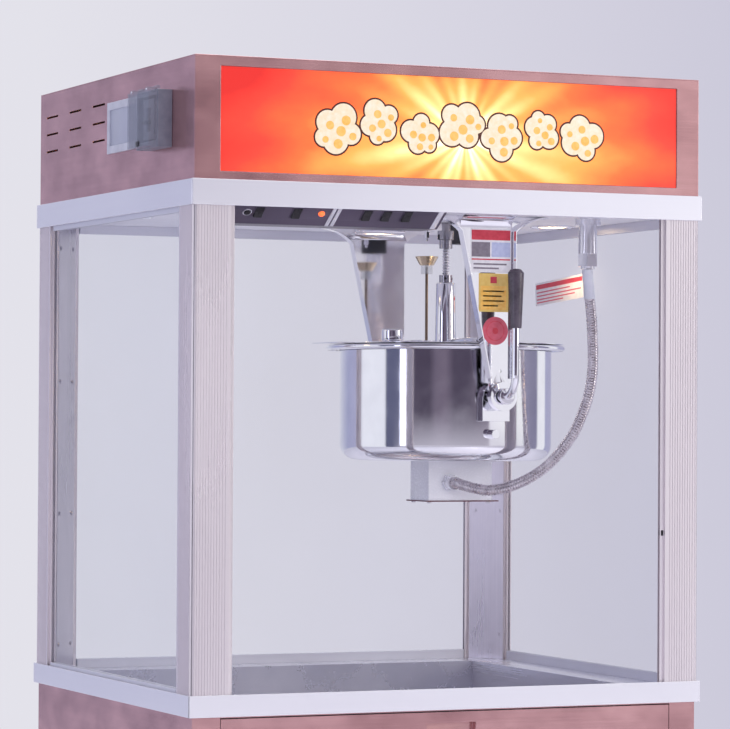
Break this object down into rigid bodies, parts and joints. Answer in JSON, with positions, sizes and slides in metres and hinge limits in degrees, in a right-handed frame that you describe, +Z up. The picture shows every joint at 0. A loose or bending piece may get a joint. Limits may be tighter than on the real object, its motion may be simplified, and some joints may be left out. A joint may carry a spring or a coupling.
{
  "type": "popcorn machine cart",
  "caption": "Glazed popcorn cabinet on a wheeled base, with a tipping kettle under a switch panel, a backlit sign header and a deck with a sifting well.",
  "frame": {"origin": "centre of the footprint of the whole machine's box, on the floor", "axes": "+Z up, +X to the right seen from the open working front, +Y to the back"},
  "size_m": [1.04, 0.846, 1.9],
  "materials": {
    "rose_steel": "brushed, rose tinted",
    "band_steel": "satin",
    "deck_steel": "satin",
    "post_aluminium": "extruded and brushed",
    "cover_steel": "brushed",
    "clear_glass": "clear",
    "rail_aluminium": "mill",
    "ceiling_white": "satin white",
    "sign_acrylic": "printed and backlit",
    "lamp_white": "opal",
    "motor_grey": "satin",
    "polished_steel": "mirror polished",
    "lamp_glow": "bright bezel",
    "panel_dark": "satin dark",
    "lamp_orange": "glowing",
    "breaker_grey": "moulded",
    "bezel_grey": "moulded",
    "smoke_clear": "smoky and clear",
    "black_plastic": "moulded",
    "braid_steel": "wound and flexible",
    "label_film": "printed film",
    "heater_iron": "cast",
    "box_white": "satin white",
    "grip_black": "moulded phenolic",
    "funnel_brass": "polished",
    "spring_steel": "wound",
    "fork_zinc": "zinc plated",
    "tyre_grey": "moulded"
  },
  "bodies": {
    "cabinet": {"base_cabinet": "rose_steel", "lower_trim": "band_steel", "deck_pan": "deck_steel", "sifting_screen": "deck_steel", "corner_posts": "post_aluminium", "post_covers": "cover_steel", "glass_panes": "clear_glass", "glass_rails": "rail_aluminium", "upper_trim": "band_steel", "header_shell": "rose_steel", "header_top": "rose_steel", "ceiling_pan": "ceiling_white", "sign_panel": "sign_acrylic", "sign_lamps": "lamp_white", "gear_motor": "motor_grey", "oil_nozzle": "polished_steel", "downlights": "lamp_glow", "control_box": "panel_dark", "pilot_lamp": "lamp_orange", "breaker_box": "breaker_grey", "window_bezel": "bezel_grey", "arm_front": "polished_steel", "arm_rear": "polished_steel", "hose_fitting": "band_steel", "kettle_hose": "braid_steel", "labels": "label_film", "cable_gland": "black_plastic", "rigid_forks": "fork_zinc"},
    "kettle": {"kettle_pan": "polished_steel", "kettle_shell": "polished_steel", "heater_plate": "heater_iron", "terminal_box": "box_white", "hose_gland": "braid_steel", "trunnions": "polished_steel", "kettle_lever": "polished_steel", "lever_grip": "grip_black", "lid_bar": "deck_steel", "oil_funnel": "funnel_brass"},
    "stirrer": {"agitator": "deck_steel", "agitator_spring": "spring_steel"},
    "motor_output": {"drive_dog": "deck_steel"},
    "lid_left_flap": {"lid_left": "polished_steel"},
    "lid_right_flap": {"lid_right": "polished_steel"},
    "breaker_cover_flap": {"breaker_cover": "smoke_clear"},
    "breaker_toggle_arm": {"breaker_toggle": "black_plastic"},
    "start_button": {"push_button": "black_plastic"},
    "door_left_leaf": {"door_left": "rose_steel"},
    "door_right_leaf": {"door_right": "rose_steel"},
    "drawer": {"crumb_drawer": "rose_steel"},
    "caster_left": {"swivel_fork_left": "fork_zinc"},
    "caster_right": {"swivel_fork_right": "fork_zinc"},
    "switch_1": {"rocker_1": "black_plastic"},
    "switch_2": {"rocker_2": "black_plastic"},
    "switch_3": {"rocker_3": "black_plastic"},
    "switch_4": {"rocker_4": "black_plastic"},
    "switch_5": {"rocker_5": "black_plastic"},
    "roller_front_left": {"wheel_front_left": "tyre_grey"},
    "roller_front_right": {"wheel_front_right": "tyre_grey"},
    "roller_back_left": {"wheel_back_left": "tyre_grey"},
    "roller_back_right": {"wheel_back_right": "tyre_grey"}
  },
  "joints": [
    {"name": "kettle_tilt", "type": "hinge", "parent": "cabinet", "child": "kettle", "pos_m": [0.205, 0.01, 1.317], "axis": [0, -1, 0], "range_deg": [0, 110], "deforming": ["kettle_hose"]},
    {"name": "motor_spin", "type": "hinge", "parent": "cabinet", "child": "motor_output", "pos_m": [0.205, 0.01, 1.64], "axis": [0, 0, 1], "continuous": true},
    {"name": "stirrer_spin", "type": "hinge", "parent": "kettle", "child": "stirrer", "pos_m": [0.205, 0.01, 1.5], "axis": [0, 0, 1], "continuous": true},
    {"name": "lid_left_hinge", "type": "hinge", "parent": "kettle", "child": "lid_left_flap", "pos_m": [0.186, 0.01, 1.422], "axis": [0, 1, 0], "range_deg": [0, 40]},
    {"name": "lid_right_hinge", "type": "hinge", "parent": "kettle", "child": "lid_right_flap", "pos_m": [0.224, 0.01, 1.422], "axis": [0, -1, 0], "range_deg": [0, 40]},
    {"name": "breaker_cover_hinge", "type": "hinge", "parent": "cabinet", "child": "breaker_cover_flap", "pos_m": [-0.499, -0.2555, 1.852], "axis": [0, 1, 0], "range_deg": [0, 100]},
    {"name": "breaker_toggle_turn", "type": "hinge", "parent": "cabinet", "child": "breaker_toggle_arm", "pos_m": [-0.492, -0.2555, 1.798], "axis": [0, 1, 0], "range_deg": [-44, 0]},
    {"name": "start_button_press", "type": "slide", "parent": "cabinet", "child": "start_button", "axis": [0, 0.5589, 0.8293], "range_m": [0, 0.003], "stiffness_N_per_m": 400},
    {"name": "switch_1_rock", "type": "hinge", "parent": "cabinet", "child": "switch_1", "pos_m": [-0.313, -0.3139, 1.63915], "axis": [1, 0, 0], "range_deg": [0, 16]},
    {"name": "switch_2_rock", "type": "hinge", "parent": "cabinet", "child": "switch_2", "pos_m": [-0.241, -0.3139, 1.63915], "axis": [1, 0, 0], "range_deg": [0, 16]},
    {"name": "switch_3_rock", "type": "hinge", "parent": "cabinet", "child": "switch_3", "pos_m": [-0.105, -0.3139, 1.63915], "axis": [1, 0, 0], "range_deg": [0, 16]},
    {"name": "switch_4_rock", "type": "hinge", "parent": "cabinet", "child": "switch_4", "pos_m": [-0.067, -0.3139, 1.63915], "axis": [1, 0, 0], "range_deg": [0, 16]},
    {"name": "switch_5_rock", "type": "hinge", "parent": "cabinet", "child": "switch_5", "pos_m": [-0.026, -0.3139, 1.63915], "axis": [1, 0, 0], "range_deg": [0, 16]},
    {"name": "door_left_hinge", "type": "hinge", "parent": "cabinet", "child": "door_left_leaf", "pos_m": [-0.41, -0.406, 0.392], "axis": [0, 0, -1], "range_deg": [0, 95]},
    {"name": "door_right_hinge", "type": "hinge", "parent": "cabinet", "child": "door_right_leaf", "pos_m": [0.45, -0.406, 0.392], "axis": [0, 0, 1], "range_deg": [0, 95]},
    {"name": "drawer_slide", "type": "slide", "parent": "cabinet", "child": "drawer", "axis": [0, -1, 0], "range_m": [0, 0.45]},
    {"name": "caster_left_swivel", "type": "hinge", "parent": "cabinet", "child": "caster_left", "pos_m": [-0.39, -0.335, 0.096], "axis": [0, 0, 1], "continuous": true},
    {"name": "caster_right_swivel", "type": "hinge", "parent": "cabinet", "child": "caster_right", "pos_m": [0.43, -0.335, 0.096], "axis": [0, 0, 1], "continuous": true},
    {"name": "wheel_front_left_spin", "type": "hinge", "parent": "caster_left", "child": "roller_front_left", "pos_m": [-0.39, -0.307, 0.04], "axis": [1, 0, 0], "continuous": true},
    {"name": "wheel_front_right_spin", "type": "hinge", "parent": "caster_right", "child": "roller_front_right", "pos_m": [0.43, -0.307, 0.04], "axis": [1, 0, 0], "continuous": true},
    {"name": "wheel_back_left_spin", "type": "hinge", "parent": "cabinet", "child": "roller_back_left", "pos_m": [-0.39, 0.335, 0.04], "axis": [1, 0, 0], "continuous": true},
    {"name": "wheel_back_right_spin", "type": "hinge", "parent": "cabinet", "child": "roller_back_right", "pos_m": [0.43, 0.335, 0.04], "axis": [1, 0, 0], "continuous": true}
  ],
  "couplings": [
    {"joint": "stirrer_spin", "follows": "motor_spin", "ratio": 1}
  ]
}
